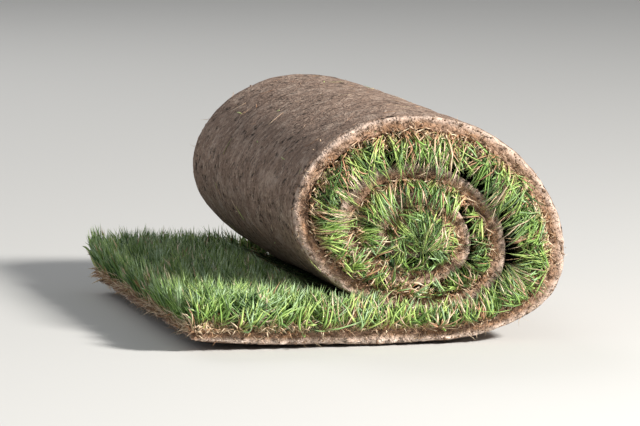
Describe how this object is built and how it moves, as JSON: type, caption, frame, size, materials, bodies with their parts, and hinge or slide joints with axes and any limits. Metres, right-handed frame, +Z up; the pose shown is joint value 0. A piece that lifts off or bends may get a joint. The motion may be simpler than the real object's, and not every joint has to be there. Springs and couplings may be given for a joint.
{
  "type": "roll of turf",
  "caption": "Strip of cut turf rolled up grass side in and lying on its own loose end, with root-bound soil outside and blades packed between the turns.",
  "frame": {"origin": "middle of the roll's bounding box, on the ground", "axes": "+Y along the roll, away from the front end; +X across it, away from the loose end; +Z up"},
  "size_m": [0.3708, 0.4672, 0.2186],
  "materials": {
    "soil": "root-bound earth, rough and matte",
    "grass": "fresh mown lawn grass"
  },
  "bodies": {
    "root": {"soil_mat": "soil", "grass": "grass"}
  },
  "joints": []
}
